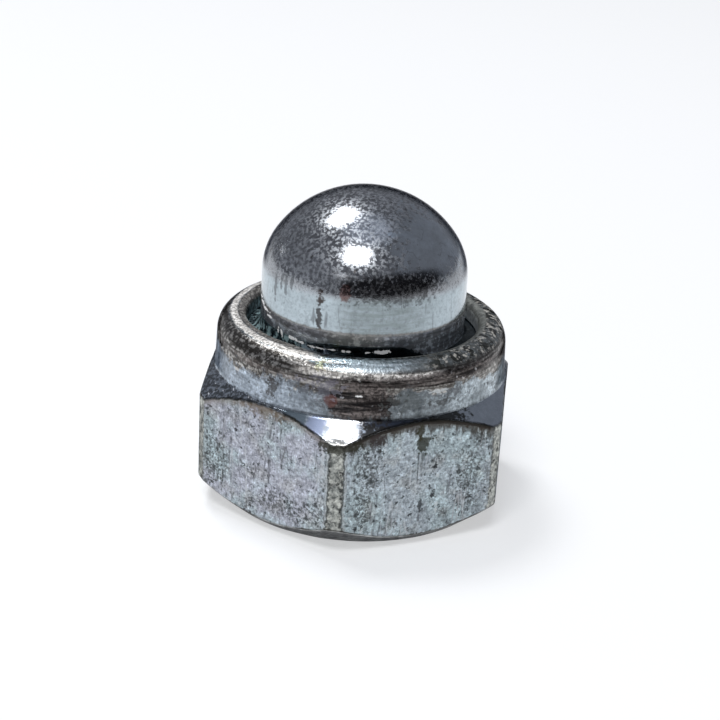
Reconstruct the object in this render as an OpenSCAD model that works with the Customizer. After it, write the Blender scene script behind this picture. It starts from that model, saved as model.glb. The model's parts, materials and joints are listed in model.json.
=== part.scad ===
// Locking cap nut, size M10, with a domed cap.
// A steel hexagon nut carries a nylon locking ring in a pocket above its thread. A cap drawn from
// steel sheet closes the pocket: its flange lies on the ring, and the nut's collar is rolled over it.
// Millimetres, +Z up. The origin is on the thread's axis, in the face that bears on the work.

/* [Thread] */
// Nominal diameter of the thread
thread_d = 10; // [9:0.25:11]
// Pitch of the thread
pitch = 1.5; // [0.75:0.25:1.75]
// How much wider the countersink at each end is than the thread
mouth_over = 0.8; // [0.2:0.1:1.4]
// Slope of the countersinks, in degrees from the face that they open in
mouth_slope = 30; // [15:1:40]

/* [Hexagon] */
// Width across the flats
across_flats = 17; // [16.9:0.1:19]
// How far each corner is worn back from a sharp edge
corner_wear = 0.23; // [0.05:0.01:0.5]
// Height of the hexagon, up to the foot of the collar
hex_h = 7.65; // [6.5:0.05:8.5]
// Diameter of the flat face that bears on the work
bearing_d = 15.5; // [13:0.1:16.5]
// Slope of the chamfer under the hexagon, in degrees from that face
under_slope = 40; // [20:1:45]
// Slope of the chamfer over the hexagon, in degrees from that face
over_slope = 40; // [20:1:50]

/* [Collar] */
// Diameter of the collar at its foot
collar_d = 16.7; // [16.2:0.1:17]
// Wall of the collar at its foot
collar_wall = 1.05; // [0.8:0.05:1.3]
// Inward lean of the collar's wall, in degrees
collar_lean = 2.5; // [0:0.5:5]
// Height of the rolled rim over the bearing face
rim_z = 10.7; // [10.2:0.1:12]
// Outer radius of the bend that rolls the collar over
bend_r = 1.15; // [0.8:0.05:1.5]
// Thickness of the lip that is rolled over the flange
lip_t = 1.1; // [0.8:0.05:1.3]
// Radius of the lip's inner edge
nose_r = 0.5; // [0.2:0.05:0.6]
// Gap between the lip and the skirt of the cap
rim_gap = 0.75; // [0.65:0.05:0.95]

/* [Locking ring] */
// Height of the nylon ring
ring_h = 2.4; // [1.5:0.1:3]
// How far the ring reaches inside the thread's nominal diameter
ring_grip = 0.35; // [0.1:0.05:0.6]
// Chamfer on the edges of the ring
ring_edge = 0.25; // [0.1:0.05:0.5]

/* [Cap] */
// Thickness of the sheet that the cap is drawn from
sheet_t = 0.7; // [0.5:0.05:0.9]
// Height of the skirt, from the flange to the foot of the dome
skirt_h = 3.55; // [2:0.05:6]
// Draft of the skirt, in degrees
skirt_draft = 0.5; // [0:0.5:5]
// Radius of the turn from the skirt into the crown
turn_r = 3.9; // [2:0.1:4.2]
// How much lower the crown is than a full ball end
crown_drop = 0.9; // [0.4:0.05:1.2]
// Radius of the bend from the skirt into the flange
foot_r = 0.6; // [0.3:0.05:0.6]

/* [Clearances] */
// Between the bolt and the wall of the cap
bolt_play = 0.11; // [0.1:0.01:0.3]
// Between the pocket's wall and what sits in it
pocket_play = 0.05; // [0.02:0.01:0.15]

/* [Hidden] */
$fn = 96;
arc_fn = 72;
past = 1;                                           // how far a cut runs past what it cuts

// Thread
minor_r = (thread_d - 1.0825 * pitch) / 2;          // the basic profile's minor diameter
mouth_r = (thread_d + mouth_over) / 2;
mouth_h = (mouth_r - minor_r) * tan(mouth_slope);

// Hexagon: corner_r is its sharp corner, and the bar is turned down inside that
corner_r = across_flats / 2 / cos(30);
worn_across = 2 * (corner_r - corner_wear);
bearing_r = bearing_d / 2;
collar_r = collar_d / 2;

// Heights, each seat resting on the one before
lip_z = rim_z - lip_t;                              // underside of the lip, and top of the flange
ring_z = lip_z - sheet_t;                           // underside of the flange, and top of the ring
pocket_z = ring_z - ring_h;                         // floor of the pocket, where the thread ends
pocket_r = collar_r - collar_wall;
seat_r = pocket_r - pocket_play;                    // outside of the ring and of the flange

// Cap: the dome's foot, its turn and its crown, which meet the skirt and each other smoothly
foot_z = lip_z + skirt_h;
dome_r = thread_d / 2 + bolt_play + sheet_t;
dome_h = dome_r / cos(skirt_draft) * (1 - sin(skirt_draft)) - crown_drop;
turn_c = [dome_r - turn_r * cos(skirt_draft), foot_z - turn_r * sin(skirt_draft)];
turn_h = foot_z + dome_h - turn_c.y;
crown_r = (turn_c.x ^ 2 + turn_h ^ 2 - turn_r ^ 2) / (2 * (turn_h - turn_r));
crown_c = [0, foot_z + dome_h - crown_r];
crown_from = atan2(turn_c.y - crown_c.y, turn_c.x);

// Foot of the skirt: its bend touches the skirt and the flange's top
function skirt_r(z) = dome_r + (foot_z - z) * tan(skirt_draft);
foot_c = [skirt_r(lip_z + foot_r) + foot_r / cos(skirt_draft), lip_z + foot_r];

// Rim: the bend touches the collar's leaning wall, and the lip's edge stands off the skirt
wall_h = rim_z - bend_r * (1 - sin(collar_lean)) - hex_h;
bend_c = [collar_r - wall_h * tan(collar_lean) - bend_r * cos(collar_lean), rim_z - bend_r];
rim_r = skirt_r(lip_z) + rim_gap;
nose_c = [rim_r + nose_r, rim_z - nose_r];

function at(centre, r, angle) = centre + r * [cos(angle), sin(angle)];

module disc(centre, r) {
    translate(centre) circle(r, $fn = arc_fn);
}

// The stretch of a disc between two heights, right of the axis
module band(centre, r, low, high) {
    intersection() {
        disc(centre, r);
        translate([0, low]) square([centre.x + r, high - low]);
    }
}

// Outline of the turned blank: both chamfers, the collar and its bend
module blank_section() {
    polygon([[0, 0], [bearing_r, 0],
        [corner_r, (corner_r - bearing_r) * tan(under_slope)],
        [corner_r, hex_h - (corner_r - collar_r) * tan(over_slope)],
        [collar_r, hex_h], at(bend_c, bend_r, collar_lean), bend_c, [bend_c.x, rim_z], [0, rim_z]]);
    disc(bend_c, bend_r);
}

// What the lip's inner edge leaves standing of it
module edge_section() {
    far = corner_r + past;
    translate([0, -past]) square([far, lip_z + past]);
    translate([rim_r, 0]) square([far, nose_c.y]);
    translate([nose_c.x, 0]) square([far, rim_z + past]);
    disc(nose_c, nose_r);
}

// The thread's bore with a countersink at each end, and the pocket above it
module hollow_section() {
    polygon([[0, -past], [mouth_r + past / tan(mouth_slope), -past], [minor_r, mouth_h],
        [minor_r, pocket_z - mouth_h], [mouth_r, pocket_z], [pocket_r, pocket_z],
        [pocket_r, lip_z], [0, lip_z]]);
}

// Steel nut: hexagon bar, turned, bored and threaded, with its collar rolled over the cap
module nut_body() {
    color([0.64, 0.68, 0.72]) difference() {
        intersection() {
            rotate(30) cylinder(h = rim_z, r = corner_r, $fn = 6);
            cylinder(h = rim_z, d = worn_across / cos(30), $fn = 6);
            rotate_extrude() intersection() {
                blank_section();
                edge_section();
            }
        }
        rotate_extrude() hollow_section();
    }
}

// Nylon ring: its bore is smaller than the bolt, which presses its own thread into it
module locking_ring() {
    bore_r = thread_d / 2 - ring_grip;
    top = ring_z - ring_edge;
    low = pocket_z + ring_edge;
    color([0.93, 0.92, 0.88]) rotate_extrude()
        polygon([[bore_r + ring_edge, pocket_z], [seat_r - ring_edge, pocket_z], [seat_r, low],
            [seat_r, top], [seat_r - ring_edge, ring_z], [bore_r + ring_edge, ring_z],
            [bore_r, top], [bore_r, low]]);
}

// Outline of the cap's inside or outside down to a height: inset is its depth below the outside
module cap_section(inset, low) {
    turn = turn_r - inset;
    bend = foot_r + inset;
    bend_top = foot_c.y - bend * sin(skirt_draft);
    skirt_top = at(turn_c, turn, skirt_draft);
    turn_top = at(turn_c, turn, crown_from);
    crown_top = crown_c + [0, crown_r - inset];
    polygon([[0, low], [skirt_r(low) - inset / cos(skirt_draft), low], skirt_top, turn_top,
        crown_top]);
    band(turn_c, turn, skirt_top.y, turn_top.y);
    band(crown_c, crown_r - inset, turn_top.y, crown_top.y);
    difference() {
        translate([0, low]) square([foot_c.x, bend_top - low]);
        disc(foot_c, bend);
    }
}

// Steel cap: flange, bend, skirt, turn and crown, all of one sheet
module dome_cap() {
    color([0.58, 0.61, 0.65]) rotate_extrude() difference() {
        union() {
            cap_section(0, ring_z);
            translate([0, ring_z]) square([seat_r, sheet_t]);
        }
        cap_section(sheet_t, ring_z - past);
    }
}

nut_body();
locking_ring();
dome_cap();
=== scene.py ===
import bpy
import json
import math
import numpy as np
from mathutils import Matrix, Vector


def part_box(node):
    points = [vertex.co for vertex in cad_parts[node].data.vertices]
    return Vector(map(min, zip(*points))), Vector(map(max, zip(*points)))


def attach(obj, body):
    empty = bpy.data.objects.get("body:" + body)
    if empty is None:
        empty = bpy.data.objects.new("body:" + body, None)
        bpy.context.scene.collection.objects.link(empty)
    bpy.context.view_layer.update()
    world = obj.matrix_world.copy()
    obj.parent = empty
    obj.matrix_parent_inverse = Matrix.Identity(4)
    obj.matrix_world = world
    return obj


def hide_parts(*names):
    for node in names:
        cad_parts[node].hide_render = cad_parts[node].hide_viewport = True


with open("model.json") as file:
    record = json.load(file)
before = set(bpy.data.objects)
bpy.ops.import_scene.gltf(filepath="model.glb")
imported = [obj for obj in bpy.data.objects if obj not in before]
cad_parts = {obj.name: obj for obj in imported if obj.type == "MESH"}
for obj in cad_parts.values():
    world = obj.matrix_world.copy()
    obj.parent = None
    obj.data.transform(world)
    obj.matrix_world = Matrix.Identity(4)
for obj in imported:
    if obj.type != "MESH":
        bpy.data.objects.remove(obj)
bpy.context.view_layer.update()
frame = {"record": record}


# The nut: hexagon steel bar, turned, bored and threaded, then plated with zinc. Its corners are dulled by
# handling, and its thin collar is rolled inwards over the flange of the cap.
mm = 0.001
nut_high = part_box("nut_body")[1]
ring_low, ring_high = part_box("locking_ring")
cap_low, cap_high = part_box("dome_cap")
threaded = next(mount for mount in frame["record"]["mounts"] if mount["name"] == "thread")

flat_r = nut_high.x                     # from the axis to a flat, and to a worn corner
worn_r = nut_high.y
worn_soft = 0.05 * mm                   # over which a worn corner runs into the flats
bearing_r = 7.75 * mm                   # the face that bears on the work, and the chamfer beside it
under_slope = math.radians(40)
collar_r = 8.35 * mm                    # the collar's foot, its lean, and the chamfer below it
collar_z = 7.65 * mm
collar_lean = math.radians(2.5)
over_slope = math.radians(40)
rim_z = nut_high.z                      # the rolled rim: its bend, and the lip that lies on the cap's sheet
bend_r = 1.15 * mm
lip_r = 6.59 * mm
sheet = 0.7 * mm
lip_z = cap_low.z + sheet
nose_r = 0.5 * mm
widest_reach = 0.24 * mm                # how much further in the lip reaches, and round which angle
widest_at = 234
widest_spread = 26
pocket_z = ring_low.z                   # the pocket for the ring and the flange
pocket_play = 0.05 * mm
pocket_r = ring_high.x + pocket_play
minor_r = threaded["dims"]["r_mm"] * mm
major_r = 5.03 * mm
pitch = 1.5 * mm
mouth_r = 5.4 * mm                      # the countersink at each end of the bore
mouth_slope = math.radians(30)
nut_dip, nut_wave = 0.03 * mm, 2.2 * mm  # how deep and how far apart the hollows in its skin are
angles_a_side = 60
bore_rows = 112


def nut_angles(per_side):
    """Angles round a hexagon, from -30 to 30 degrees about each flat's middle, closer together near the
    corners: six tenths of each step is even, and four tenths follows the sine."""
    t = np.arange(-1, 1, 2 / per_side)
    fold = np.radians(30) * (0.6 * t + 0.4 * np.sin(np.pi / 2 * t))
    side = np.radians(60) * np.arange(6)[:, None]
    return (side + fold).ravel(), np.tile(fold, 6)


def softly_least(a, b, blend):
    """The lesser of a and b, rounded off where they differ by less than blend."""
    near = np.maximum(blend - np.abs(a - b), 0) / blend
    return np.minimum(a, b) - near**2 * blend / 4


def softened(outline):
    """Rows of (radius, height) points along an outline, for every angle at once. Each entry of the outline is
    a corner, how far from it its rounding starts, and how many steps the line up to it and the rounding take.

    A corner is bridged by the arc that touches both its sides where the rounding starts: the rational
    quadratic curve with the corner as its middle point, weighted by the cosine of half the turn. Between two
    arcs the line is straight, and its points crowd towards both ends as a cosine does."""
    corners, soft, steps, turns = zip(*outline)
    line = np.stack(np.broadcast_arrays(*[np.reshape(c, (-1, 2)) for c in corners]))
    rows, end = [], line[0]
    for i in range(1, len(line) - 1):
        back, on = line[i - 1] - line[i], line[i + 1] - line[i]
        back = back / np.linalg.norm(back, axis=1, keepdims=True)
        on = on / np.linalg.norm(on, axis=1, keepdims=True)
        enter, leave = line[i] + soft[i] * back, line[i] + soft[i] * on
        t = (0.5 - 0.5 * np.cos(np.linspace(0, np.pi, steps[i] + 1)[:-1]))[:, None, None]
        rows.append(end + (enter - end) * t)
        half = np.sqrt((1 - (back * on).sum(1, keepdims=True)) / 2)
        t = np.linspace(0, 1, turns[i] + 1)[:-1, None, None]
        weight = 2 * t * (1 - t) * half
        total = (1 - t) ** 2 + weight + t**2
        rows.append(((1 - t) ** 2 * enter + weight * line[i] + t**2 * leave) / total)
        end = leave
    t = (0.5 - 0.5 * np.cos(np.linspace(0, np.pi, steps[-1] + 1)))[:, None, None]
    rows.append(end + (line[-1] - end) * t)
    return np.concatenate(rows)


def turned(section, angles):
    """A section carried round the axis: radius times the cosine and the sine of the angle, and height."""
    radius, height = np.broadcast_arrays(section[..., 0], section[..., 1])
    radius, height = [np.broadcast_to(v, (len(section), len(angles))) for v in (radius, height)]
    return np.stack([radius * np.cos(angles), radius * np.sin(angles), height], axis=-1)


def outward(points, ring):
    """Unit normals of a grid of points: the cross product of the steps to the neighbours both ways."""
    round_step = np.roll(points, -1, 1) - np.roll(points, 1, 1)
    along = np.roll(points, -1, 0) - np.roll(points, 1, 0) if ring else np.gradient(points, axis=0)
    normal = np.cross(round_step, along)
    return normal / np.maximum(np.linalg.norm(normal, axis=-1, keepdims=True), 1e-12)


def ripple(points, size, seed, waves=14):
    """A smooth uneven value from 0 to 1 at each point: the mean of sines that run in seeded directions, with
    wavelengths from two thirds of size up to one and a half times it."""
    chance = np.random.default_rng(seed)
    way = chance.normal(size=(waves, 3))
    way /= np.linalg.norm(way, axis=1, keepdims=True)
    wave = size * chance.uniform(0.67, 1.5, waves)
    phase = chance.uniform(0, 2 * np.pi, waves)
    total = sum(np.sin(points @ (w * 2 * np.pi / s) + p) for w, s, p in zip(way, wave, phase))
    return np.clip(0.5 + total / waves**0.5 / 4, 0, 1)


def skin(name, points, ring, **spots):
    """A smooth mesh of four-sided faces over a grid of points, closed round the axis. With ring, the last row
    joins the first. Without it, the first and the last row each close in a point on the axis."""
    rows, columns = points.shape[:2]
    here = np.arange(rows * columns).reshape(rows, columns)
    low = here if ring else here[:-1]
    high = np.roll(here, -1, 0) if ring else here[1:]
    faces = np.stack([low, np.roll(low, -1, 1), np.roll(high, -1, 1), high], axis=-1).reshape(-1, 4).tolist()
    places = points.reshape(-1, 3)
    if not ring:
        first, last = here[0], here[-1]
        poles = np.array([[0, 0, points[0, 0, 2]], [0, 0, points[-1, 0, 2]]])
        start, finish = len(places), len(places) + 1
        places = np.concatenate([places, poles])
        faces += [[start, b, a] for a, b in zip(first, np.roll(first, -1))]
        faces += [[finish, a, b] for a, b in zip(last, np.roll(last, -1))]
    mesh = bpy.data.meshes.new(name)
    mesh.from_pydata(places.tolist(), [], faces)
    mesh.polygons.foreach_set("use_smooth", np.ones(len(mesh.polygons), bool))
    for spot_name, values in spots.items():
        full = np.append(values.ravel(), np.zeros(len(places) - values.size))
        attribute = mesh.attributes.new(spot_name, "FLOAT", "POINT")
        attribute.data.foreach_set("value", full.astype(np.float32))
    mesh.update()
    made = bpy.data.objects.new(name, mesh)
    bpy.context.scene.collection.objects.link(made)
    return made


angles, fold = nut_angles(angles_a_side)
hexagon_r = softly_least(flat_r / np.cos(fold), worn_r / np.cos(np.radians(30) - np.abs(fold)), worn_soft)


def ring_at(radius, height):
    """A corner of the section: its radius and its height, at every angle."""
    return np.stack(np.broadcast_arrays(radius, height, angles * 0)[:2], axis=-1)


under = ring_at(hexagon_r, (hexagon_r - bearing_r) * math.tan(under_slope))
over = ring_at(hexagon_r, collar_z - (hexagon_r - collar_r) * math.tan(over_slope))
wall_top = collar_r - (rim_z - collar_z) * math.tan(collar_lean)
bend_soft = bend_r * math.tan(math.radians(45) - collar_lean / 2)
from_widest = (np.degrees(angles) - widest_at) / widest_spread
lip_in = lip_r - widest_reach * np.exp(-from_widest**2)
outside = softened([
    (ring_at(mouth_r, 0), 0, 0, 0),
    (ring_at(bearing_r, 0), 0.2 * mm, 5, 5),
    (under, 0.15 * mm, 6, 7),
    (over, 0.15 * mm, 26, 7),
    (ring_at(collar_r, collar_z), 0.14 * mm, 7, 4),
    (ring_at(wall_top, rim_z), bend_soft, 10, 20),
    (ring_at(lip_in, rim_z), nose_r, 2, 12),
    (ring_at(lip_in, lip_z), 0.05 * mm, 4, 3),
    (ring_at(pocket_r, lip_z), 0.03 * mm, 3, 2),
    (ring_at(pocket_r, pocket_z), 0.05 * mm, 5, 3),
    (ring_at(mouth_r, pocket_z), 0, 5, 0)])

# The bore, from the pocket down: a groove of 60 degrees that winds up by one pitch a turn, and a countersink
# at each end. Of the crest, an eighth of the pitch is flat each way, and of the root, a sixteenth.
heights = np.linspace(pocket_z, 0, bore_rows)[1:-1, None]
turn_share = (heights / pitch - angles / (2 * np.pi)) % 1
from_crest = np.abs(turn_share - 0.5) * 2
groove = minor_r + (major_r - minor_r) * np.clip((from_crest - 0.25) / 0.625, 0, 1)
countersink = mouth_r - np.minimum(heights, pocket_z - heights) / math.tan(mouth_slope)
bore = np.stack([np.maximum(groove, countersink), heights + 0 * angles], axis=-1)

# The turned surface, a little uneven, with how far each point is from the flat's edge and from the corner.
section = np.concatenate([outside, bore])
nut_points = turned(section, angles)
edge_mm = np.minimum(*[np.linalg.norm(section - c, axis=-1) for c in (under, over)]) / mm
on_flat = (section[..., 1] > under[:, 1]) & (section[..., 1] < over[:, 1]) & (section[..., 0] > bearing_r)
corner_mm = (np.radians(30) - np.abs(fold)) * section[..., 0] / mm
dips = nut_dip * ripple(nut_points, nut_wave, 3)[..., None]
nut_points = nut_points - outward(nut_points, True) * dips
edge_mm = np.where(on_flat, edge_mm, -edge_mm)
nut = skin("nut_body_steel", nut_points, True, edge_mm=edge_mm, corner_mm=corner_mm)
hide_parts("nut_body")
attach(nut, "root")


def feed(tree, fed, inputs):
    """Gives the input sockets of a node values or other nodes' outputs."""
    for name, value in inputs.items():
        if isinstance(value, bpy.types.Node):
            value = value.outputs[0]
        if isinstance(value, bpy.types.NodeSocket):
            tree.links.new(value, fed.inputs[name])
        elif fed.inputs[name].type == "RGBA":
            fed.inputs[name].default_value = (*value, 1)
        else:
            fed.inputs[name].default_value = value


def node(tree, kind, settings={}, inputs={}):
    """Adds a node of a kind to a tree, with its settings and its inputs."""
    made = tree.nodes.new("ShaderNode" + kind)
    for name, value in settings.items():
        setattr(made, name, value)
    feed(tree, made, inputs)
    return made


def sums(tree, operation, a, b=0.0):
    """One sum on two values."""
    return node(tree, "Math", {"operation": operation}, {0: a, 1: b})


def product(tree, *shares):
    """Several values multiplied."""
    total = shares[0]
    for share in shares[1:]:
        total = sums(tree, "MULTIPLY", total, share)
    return total


def greatest(tree, *values):
    """The greatest of several values."""
    most = values[0]
    for value in values[1:]:
        most = sums(tree, "MAXIMUM", most, value)
    return most


def rest_of(tree, share):
    """What a share leaves of one."""
    return sums(tree, "SUBTRACT", 1.0, share)


def frayed(tree, value, uneven, amount):
    """The value, pushed up and down by an uneven one."""
    return sums(tree, "ADD", value, product(tree, uneven, amount))


def off_from(tree, value, middle):
    """How far the value is from a middle one."""
    return sums(tree, "ABSOLUTE", sums(tree, "SUBTRACT", value, middle))


def ramp(tree, value, low, high, least=0.0, most=1.0):
    """least below low and most above high, smooth between; it falls where high is less than low."""
    if low > high:
        low, high, least, most = high, low, most, least
    return node(tree, "MapRange", {"interpolation_type": "SMOOTHSTEP"},
                {"Value": value, "From Min": low, "From Max": high, "To Min": least, "To Max": most})


def blended(tree, share, a, b, how="MIX"):
    """Colour a turning into colour b as share goes from 0 to 1."""
    return node(tree, "Mix", {"data_type": "RGBA", "blend_type": how}, {0: share, 6: a, 7: b}).outputs[2]


def painted(tree, colour, shade, *shares):
    """The colour with a shade painted over it, as densely as all the shares multiplied."""
    return blended(tree, product(tree, *shares), colour, shade)


def shaded(tree, colour, value, least, most):
    """The colour multiplied by least where the value is 0, and by most where it is 1."""
    factor = node(tree, "MapRange", {}, {"Value": value, "To Min": least, "To Max": most})
    return blended(tree, 1.0, colour, factor, "MULTIPLY")


def noise(tree, place, waves, detail=2.0, rough=0.5):
    """Soft noise about 0.5, with so many waves a millimetre."""
    return node(tree, "TexNoise", {}, {"Vector": place, "Scale": waves, "Detail": detail, "Roughness": rough})


def effect(name, inputs, outputs):
    """A node group with named inputs, each with the value it has if nothing is set, and named outputs: its
    tree, the sockets of its input node, and its output node."""
    tree = bpy.data.node_groups.new(name, "ShaderNodeTree")
    for label, value in inputs.items():
        kind = "NodeSocketVector" if isinstance(value, tuple) else "NodeSocketFloat"
        tree.interface.new_socket(label, in_out="INPUT", socket_type=kind).default_value = value
    for label, kind in outputs.items():
        tree.interface.new_socket(label, in_out="OUTPUT", socket_type="NodeSocket" + kind)
    return tree, tree.nodes.new("NodeGroupInput").outputs, tree.nodes.new("NodeGroupOutput")


def placed(tree, group, **inputs):
    """A node group in a material, with its own values."""
    return node(tree, "Group", {"node_tree": group}, inputs)


# Speckle: the broken grain of the zinc, a fine noise whose contrast each finish sets.
speckle, given, made = effect(
    "speckle", {"Place": (0, 0, 0), "Waves": 6.0, "Low": 0.35, "High": 0.65}, {"Mask": "Float"})
fine = noise(speckle, given["Place"], given["Waves"], 3.0, 0.65)
spread = node(speckle, "MapRange", {}, {"Value": fine, "From Min": given["Low"], "From Max": given["High"]})
feed(speckle, made, {"Mask": spread})

# Pits: round specks where the zinc is broken. Each cell of the pattern has one, of its own size, or none.
pits, given, made = effect(
    "pits", {"Place": (0, 0, 0), "Cells": 1.5, "Share": 0.4, "Width": 0.3}, {"Mask": "Float"})
wander = node(pits, "TexNoise", {}, {"Vector": given["Place"], "Scale": 6.0, "Detail": 2.0}).outputs["Color"]
wander = node(pits, "VectorMath", {"operation": "MULTIPLY_ADD"},
              {0: wander, 1: (0.4, 0.4, 0.4), 2: given["Place"]})
cells = node(pits, "TexVoronoi", {}, {"Vector": wander, "Scale": given["Cells"]})
chance = node(pits, "SeparateColor", {}, {"Color": cells.outputs["Color"]})
width = product(pits, given["Width"], sums(pits, "POWER", chance.outputs[1], 1.5))
dot = node(pits, "MapRange", {"interpolation_type": "SMOOTHSTEP"},
           {"Value": cells.outputs["Distance"], "From Min": width, "From Max": product(pits, width, 0.5)})
some = sums(pits, "LESS_THAN", chance.outputs[0], given["Share"])
feed(pits, made, {"Mask": product(pits, dot, some)})

# Scratches: thin lines along the middle value of a noise that is drawn out one way, broken up by another.
scratches, given, made = effect(
    "scratches", {"Place": (0, 0, 0), "Turn": (0, 0, 0), "Waves": 1.2, "Width": 0.012, "Share": 0.5},
    {"Mask": "Float"})
drawn = node(scratches, "Mapping", {"vector_type": "POINT"},
             {"Vector": given["Place"], "Rotation": given["Turn"], "Scale": (1.0, 1.0, 0.08)})
line = noise(scratches, drawn, given["Waves"], 1.0, 0.5)
off = off_from(scratches, line, 0.5)
thin = node(scratches, "MapRange", {}, {"Value": off, "From Min": given["Width"], "From Max": 0.0})
broken = noise(scratches, given["Place"], 0.7, 2.0, 0.5)
kept = node(scratches, "MapRange", {}, {"Value": broken, "From Min": given["Share"],
                                        "From Max": sums(scratches, "ADD", given["Share"], 0.05)})
feed(scratches, made, {"Mask": product(scratches, thin, kept)})

# Streaks: bands that run round the axis, as turning and rolling leave them, from arc, height and radius.
streaks, given, made = effect("streaks", {"Round": (0, 0, 0), "Low": 0.4, "High": 0.6}, {"Mask": "Float"})
drawn = node(streaks, "Mapping", {}, {"Vector": given["Round"], "Scale": (0.4, 5.0, 5.0)})
bands = noise(streaks, drawn, 1.0, 4.0, 0.6)
spread = node(streaks, "MapRange", {}, {"Value": bands, "From Min": given["Low"], "From Max": given["High"]})
feed(streaks, made, {"Mask": spread})

# Mark: one patch, a stain, a knock or a patch of painted light or shade, at a place given by its arc round
# the axis and its height, with a ragged outline.
mark, given, made = effect(
    "mark", {"Uneven": 0.0, "Round": (0, 0, 0), "Centre": (0, 0, 0), "Size": (1, 1, 1), "Ragged": 1.0},
    {"Mask": "Float"})
away = node(mark, "VectorMath", {"operation": "SUBTRACT"}, {0: given["Round"], 1: given["Centre"]})
share = node(mark, "VectorMath", {"operation": "DIVIDE"}, {0: away, 1: given["Size"]})
reach = node(mark, "VectorMath", {"operation": "LENGTH"}, {0: share}).outputs["Value"]
reach = frayed(mark, reach, given["Uneven"], given["Ragged"])
feed(mark, made, {"Mask": ramp(mark, reach, 1.1, 0.8)})

# Place: the object's coordinates in millimetres, the same place as arc round the axis, height and radius, and
# an uneven value about 0 that makes outlines ragged. The arc runs from the front at a radius of 8.
place, given, made = effect(
    "place", {"Object": (0, 0, 0)},
    {"Millimetres": "Vector", "Round": "Vector", "Arc": "Float", "Sideways": "Float", "Height": "Float",
     "Radius": "Float", "Uneven": "Float"})
inside = node(place, "VectorMath", {"operation": "SCALE"}, {0: given["Object"], "Scale": 1 / mm})
parts = node(place, "SeparateXYZ", {}, {0: inside}).outputs
turn = sums(place, "ARCTAN2", parts[0], product(place, parts[1], -1.0))
arc_length = product(place, turn, 8.0)
from_axis = node(place, "CombineXYZ", {}, {0: parts[0], 1: parts[1]})
length = node(place, "VectorMath", {"operation": "LENGTH"}, {0: from_axis}).outputs["Value"]
round_place = node(place, "CombineXYZ", {}, {0: arc_length, 1: parts[2], 2: length})
uneven = product(place, sums(place, "SUBTRACT", noise(place, inside, 3.0, 5.0, 0.7), 0.5), 3.0)
feed(place, made, {"Millimetres": inside, "Round": round_place, "Arc": arc_length, "Sideways": parts[0],
                   "Height": parts[2], "Radius": length, "Uneven": uneven})


def finish_for(name):
    """A new material: its tree, its Principled BSDF, and the outputs of its place group."""
    material = bpy.data.materials.new(name)
    material.use_nodes = True
    tree = material.node_tree
    where = placed(tree, place, Object=node(tree, "TexCoord").outputs["Object"])
    return material, tree, tree.nodes["Principled BSDF"], where.outputs


def spot(tree, where, centre, size, ragged=1.0):
    """One mark, from its centre's arc and height, half its width and height, and how ragged it is."""
    any_depth = 1e6
    return placed(tree, mark, Uneven=where["Uneven"], Round=where["Round"], Centre=(*centre, 0),
                  Size=(*size, any_depth), Ragged=ragged)


# Used for real stains and for painted highlights, glints and dark reflections alike.
def stains_and_painted_light(tree, where, colour, marks, through=1.0):
    """The colour with marks painted over it, all through a further mask. Each mark is a shade, a centre, a
    size, a share and how ragged its outline is."""
    for shade, centre, size, share, ragged in marks:
        colour = painted(tree, colour, shade, spot(tree, where, centre, size, ragged), share, through)
    return colour


# The nut's finish: zinc gone matt and mottled on the flats, worn to a rough band on the corners, and still
# bright but dirty on the chamfers, the collar and the rim, with painted highlights and dark reflections.
nut_zinc, tree, shader, where = finish_for("plated_nut")
millimetres, uneven, arc_mm, sideways, height, radius = [
    where[label] for label in ("Millimetres", "Uneven", "Arc", "Sideways", "Height", "Radius")]
edge = node(tree, "Attribute", {"attribute_name": "edge_mm"}).outputs["Fac"]
corner = node(tree, "Attribute", {"attribute_name": "corner_mm"}).outputs["Fac"]
beside_middle = sums(tree, "ABSOLUTE", sideways)
right_side = ramp(tree, sideways, 0.0, 1.0)

elsewhere = node(tree, "VectorMath", {}, {0: millimetres, 1: (9.0, 5.0, 3.0)})
coarse = noise(tree, millimetres, 0.4, 3.0, 0.55)
mottle = placed(tree, speckle, Place=millimetres, Waves=1.6, Low=0.32, High=0.68)
grain = placed(tree, speckle, Place=millimetres, Waves=4.5, Low=0.3, High=0.7)
coarse_grain = placed(tree, speckle, Place=elsewhere, Waves=3.6, Low=0.36, High=0.64)
fine_grain = placed(tree, speckle, Place=elsewhere, Waves=9.0, Low=0.3, High=0.7)
dark_grain = ramp(tree, grain, 0.62, 0.45)
fine_dark = placed(tree, speckle, Place=elsewhere, Waves=6.0, Low=0.52, High=0.46)
banded = placed(tree, streaks, Round=where["Round"], Low=0.38, High=0.62)
big_pits = placed(tree, pits, Place=millimetres, Cells=1.8, Share=0.6, Width=0.3)
flecks = placed(tree, pits, Place=elsewhere, Cells=3.2, Share=0.5, Width=0.45)
specks = placed(tree, pits, Place=elsewhere, Cells=5.2, Share=0.4, Width=0.42)

# Where each part of the nut lies: the flats and their corner bands, the collar, the chamfers, and the rim.
worn_edge = frayed(tree, edge, uneven, 0.12)
on_flat = ramp(tree, worn_edge, -0.02, 0.06)
to_corner = frayed(tree, corner, uneven, 0.14)
to_corner = sums(tree, "SUBTRACT", to_corner, ramp(tree, height, 2.0, 0.6, 0.0, 0.35))
on_corner = product(tree, on_flat, ramp(tree, to_corner, 0.42, 0.35))
on_collar = ramp(tree, frayed(tree, height, uneven, 0.05), 7.6, 7.7)
in_chamfer = product(tree, rest_of(tree, on_collar), rest_of(tree, on_flat))
rim_edge = frayed(tree, height, uneven, 0.6)
rim_edge = frayed(tree, rim_edge, sums(tree, "SUBTRACT", coarse, 0.5), 2.4)
on_rim = product(tree, ramp(tree, rim_edge, 9.0, 9.3), ramp(tree, radius, 6.9, 7.1))

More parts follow.
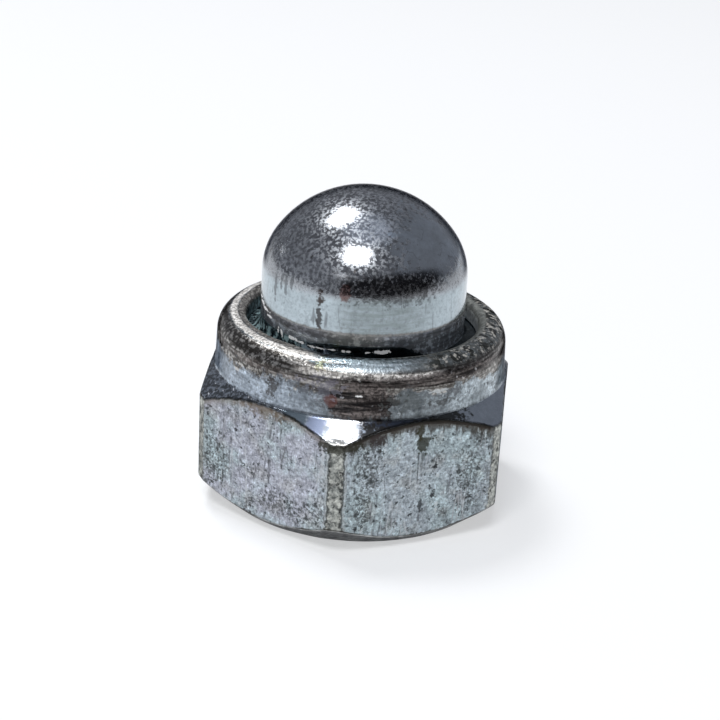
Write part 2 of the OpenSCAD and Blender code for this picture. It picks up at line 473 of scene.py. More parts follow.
# Flats: lavender to teal, mottled in patches, with dark pits in clusters, pale flecks and scratches.
lilac = product(tree, ramp(tree, coarse, 0.6, 0.4), ramp(tree, sideways, -1.0, 1.0, 1.0, 0.4))
teal_zinc, lilac_zinc = (0.355, 0.42, 0.445), (0.39, 0.405, 0.46)
matt = blended(tree, lilac, teal_zinc, lilac_zinc)
tan_haze = ramp(tree, noise(tree, millimetres, 0.9, 2.0), 0.5, 0.68)
matt = painted(tree, matt, (0.36, 0.35, 0.32), tan_haze, 0.28)
matt = shaded(tree, shaded(tree, matt, mottle, 0.82, 1.28), grain, 0.55, 1.5)
matt = shaded(tree, matt, fine_grain, 0.66, 1.4)
crowds = ramp(tree, noise(tree, millimetres, 0.45, 2.0), 0.5, 0.75)
crowded = (((-7.3, 3.2), (0.8, 1.6)), ((-2.7, 2.0), (2.0, 0.7)), ((-0.9, 2.2), (0.5, 0.8)),
           ((1.5, 5.2), (0.7, 1.8)), ((1.2, 2.9), (0.5, 1.5)), ((6.9, 3.6), (0.7, 2.2)))
for centre, size in crowded:
    crowds = greatest(tree, crowds, spot(tree, where, centre, size))
crowds = greatest(tree, crowds, product(tree, ramp(tree, corner, 1.3, 0.5), on_flat, 0.6))
small_pits = placed(tree, pits, Place=millimetres, Cells=3.6,
                    Share=ramp(tree, crowds, 0.0, 1.0, 0.45, 0.95),
                    Width=ramp(tree, crowds, 0.0, 1.0, 0.45, 0.8))
matt = painted(tree, matt, (0.08, 0.085, 0.085), fine_dark, crowds, 0.75)
matt = painted(tree, matt, (0.60, 0.64, 0.66), flecks, 0.7)
matt = painted(tree, matt, (0.06, 0.068, 0.07), small_pits, 0.85)
matt = painted(tree, matt, (0.04, 0.042, 0.045), big_pits, 0.9)
for turn, shade in (((0.5, 0.9, 0.0), (0.07, 0.07, 0.08)), ((1.3, 0.3, 0.4), (0.6, 0.62, 0.65)),
                    ((0.1, 1.45, 0.0), (0.06, 0.06, 0.06))):
    lines = placed(tree, scratches, Place=millimetres, Turn=turn, Share=0.5)
    matt = painted(tree, matt, shade, lines, 0.65)
matt = painted(tree, matt, (0.05, 0.055, 0.055), specks, 0.85)

# Along the top edge of the flats the dirt hangs down in teeth, and elsewhere lies as a tan haze.
teeth_place = node(tree, "Mapping", {}, {"Vector": where["Round"], "Scale": (3.5, 0.5, 0.0)})
teeth = sums(tree, "SUBTRACT", noise(tree, teeth_place, 1.0, 4.0, 0.65), 0.5)
hanging = ramp(tree, frayed(tree, edge, teeth, 2.6), 0.8, 0.4)
top_edge = ramp(tree, height, 4.6, 5.4)
right_edge = product(tree, top_edge, right_side)
matt = painted(tree, matt, (0.24, 0.20, 0.17), ramp(tree, worn_edge, 0.55, 0.1), top_edge, 0.6)
matt = painted(tree, matt, (0.05, 0.042, 0.033), hanging, right_edge, 0.8)
matt = painted(tree, matt, (0.028, 0.024, 0.02), ramp(tree, worn_edge, 0.28, 0.2), right_edge, 0.85)
matt = stains_and_painted_light(tree, where, matt, (
    ((0.16, 0.12, 0.08), (-4.3, 7.3), (1.2, 0.4), 0.55, 2.4),
    ((0.045, 0.048, 0.036), (4.4, 6.2), (0.42, 0.55), 0.9, 1.5),
    ((0.05, 0.048, 0.033), (4.2, 6.95), (0.2, 0.5), 0.9, 1.6),
    ((0.05, 0.055, 0.06), (4.4, 2.45), (0.13, 0.35), 0.85, 0.8),
    ((0.05, 0.04, 0.04), (1.8, 6.75), (0.5, 0.4), 0.75, 2.0)))

# Corners: a rough grey band with yellowish grains, between a dark and a light line.
dark_grit, yellow_grit = (0.10, 0.105, 0.10), (0.68, 0.69, 0.64)
band = blended(tree, coarse_grain, dark_grit, yellow_grit)
band = painted(tree, band, (0.24, 0.27, 0.27), mottle, 0.35)
band = painted(tree, band, (0.04, 0.04, 0.04), small_pits, 0.9)
band = painted(tree, band, (0.03, 0.03, 0.03), ramp(tree, to_corner, 0.22, 0.38), dark_grain, 0.85)
front = ramp(tree, beside_middle, 7.5, 6.5, 0.3, 1.0)
matt = painted(tree, matt, (0.56, 0.59, 0.60), ramp(tree, to_corner, 0.62, 0.52), front, 0.45)
matt = painted(tree, matt, (0.06, 0.065, 0.06), ramp(tree, to_corner, 0.49, 0.44), front, 0.8)
matt = painted(tree, matt, band, on_corner)

# Chamfers, bearing face and bore: bright metal, rough below the flats, with turning marks where it bears.
bright = blended(tree, mottle, (0.34, 0.38, 0.43), (0.42, 0.47, 0.53))
below_flats = product(tree, ramp(tree, height, 5.0, 4.0), ramp(tree, radius, 6.5, 7.3))
rough_zinc = blended(tree, coarse_grain, (0.30, 0.30, 0.29), (0.78, 0.78, 0.76))
bright = painted(tree, bright, rough_zinc, below_flats, 0.8)
bearing = blended(tree, banded, (0.40, 0.42, 0.43), (0.62, 0.63, 0.64))
bearing = painted(tree, shaded(tree, bearing, mottle, 0.8, 1.1), (0.12, 0.12, 0.12), flecks, 0.4)
bright = painted(tree, bright, bearing, ramp(tree, height, 0.12, 0.04))
in_bore = blended(tree, coarse_grain, (0.16, 0.165, 0.17), (0.42, 0.43, 0.44))
bright = painted(tree, bright, in_bore, ramp(tree, radius, 5.6, 5.35))
speckled_side = product(tree, ramp(tree, sideways, -2.8, -3.9), ramp(tree, height, 4.0, 5.0))
bright = painted(tree, bright, (0.75, 0.75, 0.80), flecks, speckled_side, 0.7)
bright = painted(tree, bright, (0.05, 0.055, 0.06), dark_grain, speckled_side, 0.8)

# Collar: pale, chalk-like zinc, with a painted dark reflection that is deepest near the front.
patches = ramp(tree, noise(tree, elsewhere, 0.8, 3.0, 0.6), 0.4, 0.6)
pale = blended(tree, ramp(tree, sideways, -4.0, 3.0), (0.335, 0.385, 0.445), (0.33, 0.375, 0.405))
# Painted dark reflection: darker near the front of the collar, lighter round its sides.
pale = shaded(tree, pale, ramp(tree, off_from(tree, arc_mm, 2.0), 2.0, 7.0), 0.62, 1.4)
pale = shaded(tree, shaded(tree, pale, patches, 0.66, 1.15), mottle, 0.7, 1.2)
pale = shaded(tree, shaded(tree, pale, grain, 0.55, 1.4), banded, 0.8, 1.1)
pale = painted(tree, pale, (0.48, 0.52, 0.55), flecks, 0.6)
pale = painted(tree, pale, (0.10, 0.105, 0.11), fine_dark, patches, 0.5)
pale = painted(tree, pale, (0.07, 0.08, 0.09), small_pits, 0.8)
bright = painted(tree, bright, pale, on_collar)

# Rim: outside, dirt and bare steel in turning marks, and over its bend a worn ridge with a painted highlight
# along it, near the top on the left and lower down in front.
rim_dirt, bare_steel = (0.05, 0.045, 0.04), (0.52, 0.505, 0.48)
rim = blended(tree, banded, rim_dirt, bare_steel)
rim = painted(tree, rim, (0.045, 0.04, 0.035), dark_grain, speckled_side, 0.85)
rim = painted(tree, rim, (0.055, 0.05, 0.045), dark_grain, 0.65)
rim = painted(tree, rim, (0.6, 0.58, 0.56), flecks, 0.7)
bright = painted(tree, bright, rim, on_rim)
over_bend = sums(tree, "SUBTRACT", height, 9.55)
past_bend = sums(tree, "SUBTRACT", radius, 7.1)
up_bend = product(tree, sums(tree, "ARCTAN2", over_bend, past_bend), bend_r / mm)
up_bend = frayed(tree, up_bend, uneven, 0.09)
ridge = 0.0
stretches = (1.57, 0.25, -19.0, -1.8), (1.2, 0.05, -6.0, -0.5), (0.5, 0.17, -2.6, 5.2)
for middle, wide, start, stop in stretches:
    stretch = product(tree, ramp(tree, off_from(tree, up_bend, middle), wide * 1.3, wide * 0.6),
                      ramp(tree, arc_mm, start - 0.5, start + 0.5),
                      ramp(tree, arc_mm, stop + 0.7, stop - 0.7))
    ridge = greatest(tree, ridge, stretch)
ridge = product(tree, ridge, ramp(tree, height, 9.7, 9.9))
# Worn bare metal with a painted highlight on it, brightest on the left.
worn_metal_and_highlight = blended(tree, banded, (0.42, 0.40, 0.37), (0.98, 0.95, 0.91))
worn_metal_and_highlight = painted(tree, worn_metal_and_highlight, (1.0, 0.98, 0.94), ramp(tree, sideways, -2.5, -4.5, 0.0, 0.45))
worn_metal_and_highlight = painted(tree, worn_metal_and_highlight, (0.12, 0.11, 0.10), fine_dark, 0.75)
bright = painted(tree, bright, worn_metal_and_highlight, ridge)

# Inside the ridge: slate-blue zinc in front, which gives way on the right to dark blots and cream flecks.
reach = frayed(tree, radius, uneven, 0.09)
inner_edge = ramp(tree, sideways, -3.2, -0.5, 7.6, 8.0)
inner = product(tree, ramp(tree, sums(tree, "SUBTRACT", reach, inner_edge), 0.1, -0.1),
                ramp(tree, frayed(tree, height, uneven, 0.07), 9.8, 9.9))
inside_ridge = product(tree, inner, rest_of(tree, ridge))
dark_slate, light_slate, cream = (0.16, 0.20, 0.22), (0.42, 0.48, 0.52), (0.70, 0.67, 0.60)
slate = blended(tree, banded, dark_slate, light_slate)
dirty_ring = ramp(tree, off_from(tree, reach, 7.12), 0.12, 0.05)
slate = painted(tree, slate, (0.05, 0.05, 0.045), dark_grain, dirty_ring)
more_dirt = ramp(tree, sideways, 2.5, 5.5, 0.35, 0.6)
slate = painted(tree, slate, (0.06, 0.06, 0.055), dark_grain, more_dirt)
slate = shaded(tree, slate, ramp(tree, sideways, -0.5, 1.5), 1.0, 1.1)
far_right = ramp(tree, sideways, 2.5, 5.0)
slate = painted(tree, slate, blended(tree, mottle, (0.11, 0.11, 0.10), (0.34, 0.34, 0.31)), far_right, 0.6)
blots = placed(tree, speckle, Place=millimetres, Waves=1.6, Low=0.49, High=0.55)
slate = painted(tree, slate, (0.025, 0.025, 0.02), far_right, blots, 0.85)
chalk = greatest(tree, placed(tree, speckle, Place=elsewhere, Waves=2.3, Low=0.52, High=0.58), flecks)
chalk = product(tree, chalk, ramp(tree, grain, 0.2, 0.4), ramp(tree, sideways, 3.6, 5.6), 0.75)
slate = painted(tree, slate, cream, chalk)
bright = painted(tree, bright, slate, inside_ridge)

# The lip's inner edge: worn metal on top, lit along a thin line at the left, and a dark wall below it that
# carries a painted teal reflection at the left and painted light at the right.
beside_front = ramp(tree, beside_middle, 1.2, 3.2)
overhang = ramp(tree, off_from(tree, arc_mm, -5.0), 4.9, 0.4, 0.0, widest_reach / mm)
edge_reach = sums(tree, "ADD", reach, overhang)
dark_reach = sums(tree, "ADD", edge_reach, product(tree, beside_front, 0.28))
nose = product(tree, ramp(tree, dark_reach, 6.98, 6.88), ramp(tree, height, 9.5, 9.6))
nose_shade = blended(tree, coarse_grain, (0.03, 0.028, 0.025), (0.26, 0.28, 0.28))
# A painted teal reflection on the wall at the left.
teal_reflection_side = ramp(tree, sideways, -2.0, -4.5)
nose_shade = painted(tree, nose_shade, (0.50, 0.58, 0.61), coarse_grain, teal_reflection_side)
nose_shade = painted(tree, nose_shade, (0.03, 0.035, 0.035), dark_grain, 0.8)
# Painted light on the wall at the right, which lies in shade: pale, and less metallic below.
painted_lit_side = ramp(tree, sideways, 3.2, 4.6)
painted_lit_wall = blended(tree, grain, (0.20, 0.21, 0.21), (0.66, 0.68, 0.67))
nose_shade = painted(tree, nose_shade, painted_lit_wall, painted_lit_side)
bright = painted(tree, bright, nose_shade, nose)
lip_band = product(tree, beside_front, ramp(tree, reach, 7.12, 7.02),
                   ramp(tree, edge_reach, 6.60, 6.66), ramp(tree, height, 10.2, 10.3))
worn_lip = blended(tree, grain, (0.09, 0.08, 0.07), (0.42, 0.40, 0.37))
worn_lip = painted(tree, worn_lip, (0.06, 0.055, 0.05), dark_grain, 0.7)
worn_lip = painted(tree, worn_lip, blended(tree, grain, (0.07, 0.074, 0.07), (0.25, 0.26, 0.24)),
                   ramp(tree, sideways, 1.0, 3.0))
line_reach = node(tree, "MapRange", {}, {"Value": arc_mm, "From Min": -9.1, "From Max": -4.0, "To Min": 6.72,
                                         "To Max": 6.90})
lit_edge = product(tree, ramp(tree, sums(tree, "SUBTRACT", edge_reach, line_reach), 0.08, 0.02),
                   ramp(tree, arc_mm, -10.5, -9.5), ramp(tree, arc_mm, -1.8, -3.0))
worn_lip = painted(tree, worn_lip, (0.80, 0.82, 0.79), lit_edge)
bright = painted(tree, bright, worn_lip, lip_band)
colour = painted(tree, bright, matt, on_flat)

# Stains, knocks and painted light, each at its place. The collar's and the rim's come first, then the
# chamfer's.
# Dark streaks with flecks: dirt on the rim, and the colour of the painted dark reflection on the collar.
dirt_and_dark_reflection = blended(tree, banded, (0.008, 0.006, 0.006), (0.22, 0.19, 0.18))
dirt_and_dark_reflection = painted(tree, dirt_and_dark_reflection, (0.01, 0.009, 0.009), fine_dark, 0.6)
dirt_and_dark_reflection = painted(tree, dirt_and_dark_reflection, (0.5, 0.5, 0.52), flecks, 0.6)
colour = stains_and_painted_light(tree, where, colour, (
    # A painted dark reflection over the middle of the collar, darkest just to the right of the middle.
    (dirt_and_dark_reflection, (0.9, 8.7), (1.95, 1.35), 0.95, 0.55),
    ((0.012, 0.01, 0.01), (2.0, 8.45), (0.9, 0.75), 0.7, 2.0),
    # Dark streaks over the rim's bend: dirt, and a painted dark reflection.
    (dirt_and_dark_reflection, (5.2, 9.75), (6.0, 0.36), 0.85, 0.5),
    (dirt_and_dark_reflection, (-5.0, 9.6), (4.6, 0.25), 0.6, 0.9),
    ((0.12, 0.055, 0.05), (-0.6, 8.62), (0.38, 0.38), 0.7, 0.3),
    ((0.16, 0.16, 0.05), (-1.26, 10.4), (0.3, 0.22), 0.5, 2.5),
    # A painted glint on the collar.
    ((0.9, 0.9, 0.9), (0.8, 9.0), (0.2, 0.06), 0.9, 2.0),
    ((0.34, 0.34, 0.42), (-1.1, 9.35), (0.9, 0.45), 0.3, 2.5),
    ((0.05, 0.045, 0.042), (-3.9, 8.7), (0.35, 0.5), 0.8, 1.8),
    ((0.05, 0.045, 0.042), (-5.0, 9.1), (1.0, 0.28), 0.6, 2.2),
    ((0.06, 0.06, 0.065), (-1.9, 9.1), (1.2, 0.25), 0.6, 2.2),
    ((0.07, 0.07, 0.075), (6.0, 8.9), (0.6, 0.2), 0.55, 2.5),
    ((0.10, 0.11, 0.11), (3.4, 8.6), (0.9, 0.5), 0.45, 2.5),
    ((0.04, 0.038, 0.036), (5.5, 8.35), (0.8, 0.15), 0.6, 2.0),
    ((0.7, 0.74, 0.76), (5.15, 9.05), (0.5, 0.1), 0.5, 1.5)))
colour = stains_and_painted_light(tree, where, colour, (
    ((0.02, 0.025, 0.04), (2.9, 7.6), (1.9, 0.36), 0.95, 0.3),
    ((0.02, 0.02, 0.015), (5.6, 7.5), (1.3, 0.34), 0.9, 1.6),
    ((0.03, 0.028, 0.026), (1.9, 7.0), (1.15, 0.6), 0.95, 1.2),
    # A painted highlight on the chamfer by the near corner, with a bluish painted fringe on its left.
    ((0.95, 0.97, 1.0), (0.1, 7.1), (0.85, 1.25), 0.9, 0.7),
    ((0.28, 0.33, 0.48), (-1.25, 7.3), (0.5, 0.6), 0.75, 0.6),
    ((0.10, 0.14, 0.17), (-2.4, 7.45), (0.75, 0.35), 0.8, 0.5)), in_chamfer)
colour = stains_and_painted_light(tree, where, colour, [((0.04, 0.04, 0.03), (0.0, 6.5), (1.0, 0.36), 0.85, 1.3)])
dark_line = ramp(tree, sums(tree, "ABSOLUTE", worn_edge), 0.13, 0.05)
dark_share = ramp(tree, noise(tree, millimetres, 0.5, 2.0), 0.35, 0.6, 0.2, 0.9)
colour = painted(tree, colour, (0.03, 0.028, 0.022), dark_line, dark_share)

# The outline darkens edge on. Chalk, worn metal, flecks and painted light are less metallic than the zinc.
facing = node(tree, "LayerWeight", {}, {"Blend": 0.5}).outputs["Facing"]
tint = blended(tree, ramp(tree, facing, 0.6, 0.8), (1.0, 1.0, 1.0), (0.15, 0.15, 0.16))
dulled = greatest(
    tree, product(tree, ridge, ramp(tree, sideways, -2.5, -0.5, 0.65, 0.85)),
    product(tree, lip_band, 0.7), product(tree, inner, chalk, 0.7), product(tree, nose, painted_lit_side, 0.85),
    product(tree, flecks, speckled_side, in_chamfer, 0.7))
rough = 0.24
for share, roughness in ((on_collar, 0.32), (ridge, 0.46),
                         (inside_ridge, ramp(tree, sideways, -0.5, 1.5, 0.2, 0.42)),
                         (nose, 0.38), (on_flat, 0.5)):
    rough = node(tree, "Mix", {"data_type": "FLOAT"}, {0: share, 2: rough, 3: roughness})
bump_share = greatest(tree, on_collar, on_flat)
dents = product(tree, greatest(tree, small_pits, big_pits), on_flat, 1.2)
bump_height = sums(tree, "SUBTRACT", product(tree, grain, bump_share), dents)
bumps = node(tree, "Bump", {}, {"Height": bump_height, "Distance": 0.015 * mm, "Strength": 1.0})
feed(tree, shader, {"Base Color": colour, "Specular Tint": tint, "Metallic": rest_of(tree, dulled),
                    "Roughness": rough, "Normal": bumps})
nut.data.materials.append(nut_zinc)


# The locking ring: nylon, pressed into the pocket over the thread. Its bore is smaller than a bolt, which
# presses its own thread into it.
chamfer = 0.25 * mm
edge_soft = 0.07 * mm
ring_bore = 4.65 * mm
ring_columns = 180
bottom, top = ring_low.z, ring_high.z
ring_r = ring_high.x
ring_corners = [
    (ring_r - chamfer, bottom), (ring_r, bottom + chamfer), (ring_r, top - chamfer), (ring_r - chamfer, top),
    (ring_bore + chamfer, top), (ring_bore, top - chamfer), (ring_bore, bottom + chamfer),
    (ring_bore + chamfer, bottom)]
under_middle = ((ring_bore + ring_r) / 2, bottom)
ring_outline = [(c, edge_soft, 5, 4) for c in ring_corners]
ring_outline = [(under_middle, 0, 0, 0), *ring_outline, (under_middle, 0, 5, 0)]
ring_angles = np.arange(0, 2 * np.pi, 2 * np.pi / ring_columns)
ring = skin("nylon_locking_ring", turned(softened(ring_outline)[:-1], ring_angles), True)
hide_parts("locking_ring")
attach(ring, "root")

nylon, tree, shader, where = finish_for("moulded_nylon")
haze = placed(tree, speckle, Place=where["Millimetres"], Waves=1.5, Low=0.3, High=0.7)
colour = blended(tree, haze, (0.80, 0.78, 0.70), (0.88, 0.87, 0.82))
feed(tree, shader, {"Base Color": colour, "Roughness": 0.45})
ring.data.materials.append(nylon)


# The cap: drawn from thin steel sheet, with a flat flange that the rim traps, and plated with zinc. The die
# leaves it smooth, and its polish shows whatever stands round it.
draft = math.radians(0.5)
foot_z = 13.15 * mm                     # where the skirt ends and the dome begins
dome_r = 5.81 * mm
turn_r = 3.9 * mm
crown_r = 6.233 * mm
turn_c = np.array([dome_r - turn_r * math.cos(draft), foot_z - turn_r * math.sin(draft)])
crown_c = np.array([0, cap_high.z - crown_r])
crown_from = math.atan2(*(turn_c - crown_c)[::-1])
flange_r = cap_high.x
foot_r = 0.6 * mm                       # the bend from the flange into the skirt
cap_dip, cap_wave = 0.012 * mm, 4 * mm
cap_columns = 240


def arc(centre, radius, start, stop, count):
    """Points on a circle, from one angle to another, both in radians."""
    t = np.linspace(start, stop, count)
    return centre + radius * np.stack([np.cos(t), np.sin(t)], axis=-1)


def cap_side(inset):
    """The cap's section from its flange up to the axis, at a depth under its outside: a bend, the straight
    skirt, and two arcs for the turn and the crown."""
    skirt = dome_r + (foot_z - lip_z - foot_r) * math.tan(draft)
    bend_c = np.array([skirt + foot_r / math.cos(draft), lip_z + foot_r])
    bend = arc(bend_c, foot_r + inset, -math.pi / 2, -math.pi + draft, 10)
    turn = arc(turn_c, turn_r - inset, draft, crown_from, 44)
    crown = arc(crown_c, crown_r - inset, crown_from, math.pi / 2 * 0.99, 60)
    straight = bend[-1] + (turn[0] - bend[-1]) * np.linspace(0, 1, 18)[1:-1, None]
    return np.concatenate([bend, straight, turn, crown[1:]])


flange = np.array([(flange_r, lip_z - sheet), (flange_r, lip_z)])
cap_rows = np.concatenate([cap_side(sheet)[::-1], flange, cap_side(0)])[:, None, :]
cap_points = turned(cap_rows, np.arange(0, 2 * np.pi, 2 * np.pi / cap_columns))
dips = cap_dip * ripple(cap_points, cap_wave, 7)[..., None]
cap = skin("drawn_cap", cap_points - outward(cap_points, False) * dips, False)
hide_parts("dome_cap")
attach(cap, "root")

# The cap's finish: dark, mirror-like zinc with a broken grain that glints near the lamps. It is smoothest on
# the right, has a painted glow low on the left, and painted reflections and shade round its foot.
cap_zinc, tree, shader, where = finish_for("plated_cap")
millimetres, uneven, arc_mm, sideways, height = [
    where[label] for label in ("Millimetres", "Uneven", "Arc", "Sideways", "Height")]
mottle = placed(tree, speckle, Place=millimetres, Waves=1.5, Low=0.3, High=0.7)
grain = placed(tree, speckle, Place=millimetres, Waves=5.6, Low=0.3, High=0.7)
clouds = ramp(tree, noise(tree, millimetres, 0.55, 4.0, 0.6), 0.35, 0.65)
small_pits = placed(tree, pits, Place=millimetres, Cells=3.4, Share=0.5, Width=0.5)
big_pits = placed(tree, pits, Place=millimetres, Cells=1.6, Share=0.4, Width=0.25)
rings = placed(tree, streaks, Round=where["Round"], Low=0.4, High=0.62)
on_dome = ramp(tree, height, 13.2, 13.8)
smooth = spot(tree, where, (8.2, 15.8), (4.8, 1.6))
broken = product(tree, ramp(tree, smooth, 0.0, 1.0, 1.0, 0.15),
                 ramp(tree, on_dome, 0.0, 1.0, 0.35, 1.0))
skirt_zinc, dome_zinc = (0.44, 0.51, 0.55), (0.39, 0.41, 0.44)
colour = blended(tree, on_dome, skirt_zinc, dome_zinc)
colour = painted(tree, colour, (0.425, 0.475, 0.53), smooth, on_dome)
colour = shaded(tree, colour, mottle, 0.88, 1.12)
colour = painted(tree, colour, (0.28, 0.295, 0.31), clouds, on_dome, 0.5)
colour = painted(tree, colour, (0.13, 0.13, 0.135), ramp(tree, grain, 0.65, 0.1), broken, 0.75)
colour = painted(tree, colour, (0.06, 0.06, 0.07), small_pits, broken, 0.7)
through_grain = ramp(tree, grain, 0.1, 0.6, 0.2, 1.0)
# A painted glow, lighter, low on the dome's left.
painted_glow = spot(tree, where, (-4.4, 14.6), (2.4, 1.2), 1.2)
colour = painted(tree, colour, (0.60, 0.63, 0.67), painted_glow, 0.3, through_grain)
colour = painted(tree, colour, (0.06, 0.05, 0.045), big_pits, broken, 0.8)
lines = placed(tree, scratches, Place=millimetres, Turn=(1.3, 0.4, 0.2), Share=0.5)
colour = painted(tree, colour, (0.07, 0.07, 0.075), lines, ramp(tree, height, 11.3, 11.6), 0.6)

# A painted dark reflection in a band over the skirt, a spot of rust, a crack down the skirt, and drips at the
# left.
painted_dark_reflection = spot(tree, where, (3.2, 13.95), (3.9, 0.75), 1.2)
colour = painted(tree, colour, (0.03, 0.025, 0.025), painted_dark_reflection, 0.68, through_grain)
colour = stains_and_painted_light(tree, where, colour, (
    ((0.17, 0.085, 0.075), (-0.6, 13.82), (0.45, 0.5), 0.75, 0.4),
    ((0.04, 0.035, 0.035), (-2.5, 12.5), (0.19, 1.15), 0.85, 2.2),
    ((0.06, 0.045, 0.04), (-2.5, 13.3), (0.25, 0.35), 0.7, 2.0)))
# The skirt is darker from the front round to the right, with greenish streaks.
darker_skirt_front = product(tree, ramp(tree, arc_mm, -1.8, 0.6), ramp(tree, arc_mm, 8.5, 3.0),
               ramp(tree, on_dome, 1.0, 0.0))
colour = shaded(tree, colour, darker_skirt_front, 1.0, 0.68)
colour = painted(tree, colour, (0.20, 0.24, 0.235), darker_skirt_front, rings, 0.6)
drip = (0.12, 0.13, 0.14)
drip_places = (-7.1, 13.3, 0.9), (-6.3, 13.6, 0.5), (-5.8, 13.4, 0.8), (-5.2, 13.8, 0.4)
drips = [(drip, (x, z), (0.17, tall), 0.7, 1.6) for x, z, tall in drip_places]
colour = stains_and_painted_light(tree, where, colour, drips)

# The foot of the skirt, down in the gap beside the rim: a painted reflection of the rim under a brown edge
# line, purple-grey on the left, olive in the middle and navy on the right, then painted near-black shade,
# with painted teal reflections and painted glints at the bottom.
# A painted reflection of the rim's edge: a brown line.
rim_reflection_edge = product(tree, ramp(tree, frayed(tree, height, uneven, 0.06), 11.65, 11.52),
                    ramp(tree, height, 11.0, 11.2))
colour = painted(tree, colour, blended(tree, grain, (0.05, 0.045, 0.04), (0.26, 0.23, 0.21)), rim_reflection_edge, 0.75)
# A painted teal reflection low on the skirt's left.
colour = painted(tree, colour, (0.42, 0.58, 0.62), ramp(tree, sideways, -2.0, -3.5, 0.25, 1.0),
                 ramp(tree, height, 11.2, 10.9), mottle, 0.6)
gap_low = sums(tree, "SUBTRACT", ramp(tree, sideways, -2.5, -1.0, 10.66, 10.84),
               ramp(tree, frayed(tree, sideways, uneven, 0.4), 2.4, 4.4, 0.0, 0.8))
over_low = sums(tree, "SUBTRACT", height, gap_low)
in_gap = product(tree, ramp(tree, frayed(tree, height, uneven, 0.05), 11.5, 11.4),
                 ramp(tree, over_low, -0.03, 0.05))
# The painted reflection of the rim and lip: purple-grey, olive and navy from left to right.
rim_reflection = blended(tree, mottle, (0.12, 0.125, 0.15), (0.34, 0.36, 0.41))
rim_reflection = painted(tree, rim_reflection, blended(tree, mottle, (0.17, 0.17, 0.155), (0.49, 0.49, 0.47)),
                ramp(tree, sideways, -2.0, -0.6))
rim_reflection = painted(tree, rim_reflection, blended(tree, rings, (0.15, 0.17, 0.21), (0.50, 0.55, 0.62)),
                ramp(tree, sideways, 0.8, 2.4))
colour = painted(tree, colour, rim_reflection, in_gap, 0.8)
blotches = placed(tree, speckle, Place=millimetres, Waves=3.2, Low=0.6, High=0.5)
colour = painted(tree, colour, (0.05, 0.05, 0.052), in_gap, blotches, 0.7)
# Painted near-black shade low in the gap.
colour = painted(tree, colour, (0.07, 0.085, 0.10), ramp(tree, over_low, 0.02, -0.04, 0.0, 0.8))
# Painted teal reflections at the bottom of the gap, on the left.
teal_reflections = product(tree, placed(tree, speckle, Place=millimetres, Waves=2.4, Low=0.47, High=0.58),
                ramp(tree, height, 10.7, 10.5), ramp(tree, sideways, 0.0, -1.5))
teal_reflection_colour = blended(tree, ramp(tree, sideways, -3.5, -2.0), (0.36, 0.50, 0.52), (0.30, 0.37, 0.45))
colour = painted(tree, colour, teal_reflection_colour, teal_reflections)
glint_places = (
    (1.45, 10.53, 0.45, 0.06), (2.4, 10.56, 0.6, 0.1), (-0.1, 10.5, 0.14, 0.05), (-0.5, 10.5, 0.12, 0.05),
    (-1.5, 10.49, 0.5, 0.05), (-2.3, 10.46, 0.45, 0.06), (-3.1, 10.46, 0.5, 0.07), (-4.0, 10.52, 0.5, 0.07),
    (-4.8, 10.59, 0.45, 0.08), (-6.0, 10.62, 0.14, 0.16), (-6.5, 10.68, 0.14, 0.16), (-7.9, 11.13, 0.5, 0.07),
    (-8.7, 11.36, 0.55, 0.09), (-9.5, 11.56, 0.5, 0.09), (-10.2, 11.72, 0.4, 0.08))
glints = greatest(tree, *[spot(tree, where, (x, z), (wide, tall), 1.6) for x, z, wide, tall in glint_places])
colour = painted(tree, colour, (1.0, 1.0, 1.0), glints)

# The dome's outline darkens too. Painted reflections and glints down in the gap are less metallic than the
# zinc.
facing = node(tree, "LayerWeight", {}, {"Blend": 0.5}).outputs["Facing"]
own_height = node(tree, "SeparateXYZ", {}, {0: node(tree, "TexCoord").outputs["Object"]}).outputs[2]
high_up = ramp(tree, own_height, 13.4 * mm, 14.2 * mm)
outline = product(tree, ramp(tree, facing, 0.6, 0.8), high_up)
tint = blended(tree, outline, (1.0, 1.0, 1.0), (0.12, 0.12, 0.13))
dulled = product(tree, greatest(tree, in_gap, teal_reflections, glints), 0.6)
rough = ramp(tree, product(tree, ramp(tree, grain, 0.35, 0.75), broken), 0.0, 1.0, 0.13, 0.34)
rough = sums(tree, "ADD", rough, product(tree, glints, 0.5))
bump_height = product(tree, grain, broken)
bumps = node(tree, "Bump", {}, {"Height": bump_height, "Distance": 0.003 * mm, "Strength": 1.0})
feed(tree, shader, {"Base Color": colour, "Specular Tint": tint, "Metallic": rest_of(tree, dulled),
                    "Roughness": rough, "Normal": bumps})
cap.data.materials.append(cap_zinc)


# The stand: a plain sheet of pale, back-lit card, whose near edge lies close in front of the object. Seen
# from below it is clear, and shows the underside.
near, far = -0.13, 1.4
left, right = -0.33, 1.4
floor_z = -0.02 * mm
floor_corners = [(left, near, floor_z), (right, near, floor_z), (right, far, floor_z), (left, far, floor_z)]
floor_mesh = bpy.data.meshes.new("floor")
floor_mesh.from_pydata(floor_corners, [], [(0, 1, 2, 3)])
floor = bpy.data.objects.new("floor", floor_mesh)
bpy.context.scene.collection.objects.link(floor)
paper = bpy.data.materials.new("pale_floor")
paper.use_nodes = True
tree = paper.node_tree
card = tree.nodes["Principled BSDF"]
feed(tree, card, {"Base Color": (0.5, 0.51, 0.52), "Roughness": 0.7,
                  "Emission Color": (1.0, 1.0, 1.0), "Emission Strength": 0.45})
from_below = product(tree, node(tree, "NewGeometry").outputs["Backfacing"],
                     node(tree, "LightPath").outputs["Is Camera Ray"])
two_sided = node(tree, "MixShader", {}, {0: from_below, 1: card, 2: node(tree, "BsdfTransparent")})
feed(tree, tree.nodes["Material Output"], {"Surface": two_sided})
floor_mesh.materials.append(paper)


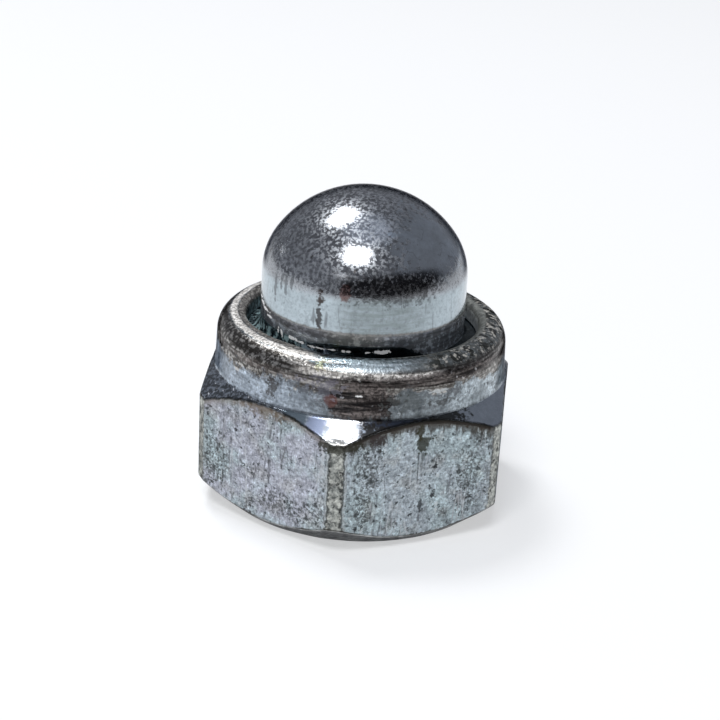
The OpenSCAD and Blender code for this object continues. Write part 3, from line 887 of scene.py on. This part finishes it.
# The room: dim, paler overhead, and darkest low in front on the right, but white where the camera looks past
# the floor. Four soft lamps stand in it, all facing the object.
room = bpy.data.worlds.new("dim_room")
room.use_nodes = True
bpy.context.scene.world = room
tree = room.node_tree
way = node(tree, "SeparateXYZ", {}, {0: node(tree, "TexCoord").outputs["Generated"]}).outputs
sky = blended(tree, ramp(tree, way[2], 0.9, 0.98), (0.25, 0.26, 0.29), (0.70, 0.76, 0.88))
heading = sums(tree, "ARCTAN2", way[0], product(tree, way[1], -1.0))
dark_at, dark_half_width = math.radians(40), math.radians(62)
dark_height, dark_half_height = 0.15, 0.35
round_share = product(tree, sums(tree, "SUBTRACT", heading, dark_at), 1 / dark_half_width)
height_share = product(tree, sums(tree, "SUBTRACT", way[2], dark_height), 1 / dark_half_height)
both_shares = node(tree, "CombineXYZ", {}, {0: round_share, 1: height_share})
reach = node(tree, "VectorMath", {"operation": "LENGTH"}, {0: both_shares}).outputs["Value"]
sky = blended(tree, ramp(tree, reach, 1.15, 0.85), sky, (0.03, 0.03, 0.035))
seen = blended(tree, node(tree, "LightPath").outputs["Is Camera Ray"], sky, (1.0, 1.0, 1.0))
feed(tree, tree.nodes["Background"], {"Color": seen})

target = Vector((0, 0, 7.69 * mm))


def towards(azimuth, elevation):
    """Unit vector to a place round the object. Azimuth 0 is in front, on -Y, and 90 is on +X."""
    a, e = math.radians(azimuth), math.radians(elevation)
    return Vector((math.sin(a) * math.cos(e), -math.cos(a) * math.cos(e), math.sin(e)))


def lamp(name, azimuth, elevation, width, height, power):
    """A soft rectangular lamp, half a metre from the object and facing it."""
    light = bpy.data.lights.new(name, "AREA")
    light.shape = "RECTANGLE"
    light.size = width
    light.size_y = height
    light.energy = power
    made = bpy.data.objects.new(name, light)
    made.location = target + towards(azimuth, elevation) * 0.5
    made.rotation_euler = towards(azimuth, elevation).to_track_quat("Z", "Y").to_euler()
    bpy.context.scene.collection.objects.link(made)


lamp("front_lamp", -11, 58, 0.19, 0.13, 1.25)
lamp("back_lamp", -130, 63, 0.16, 0.13, 1.15)
lamp("side_lamp", -113, 13, 0.03, 0.02, 0.015)
lamp("low_lamp", -22, 27, 0.12, 0.02, 0.03)

# The camera: in front and a little to the right, looking down at the object, and rolled by a few degrees.
camera_azimuth, camera_elevation = 5.653, 22.324
camera_roll = math.radians(3.159)
camera_distance = 96.35 * mm
camera_data = bpy.data.cameras.new("camera")
camera_data.sensor_width = 36
camera_data.lens = 83.4
camera_data.clip_start = 0.001
camera_data.clip_end = 10
camera = bpy.data.objects.new("camera", camera_data)
bpy.context.scene.collection.objects.link(camera)
back = towards(camera_azimuth, camera_elevation)
level = towards(camera_azimuth + 90, 0)
lift = back.cross(level)
across = level * math.cos(camera_roll) + lift * math.sin(camera_roll)
upward = lift * math.cos(camera_roll) - level * math.sin(camera_roll)
turned_to = Matrix((across, upward, back)).transposed().to_4x4()
camera.matrix_world = Matrix.Translation(target + back * camera_distance) @ turned_to
bpy.context.scene.camera = camera
bpy.context.scene.view_settings.view_transform = "Standard"
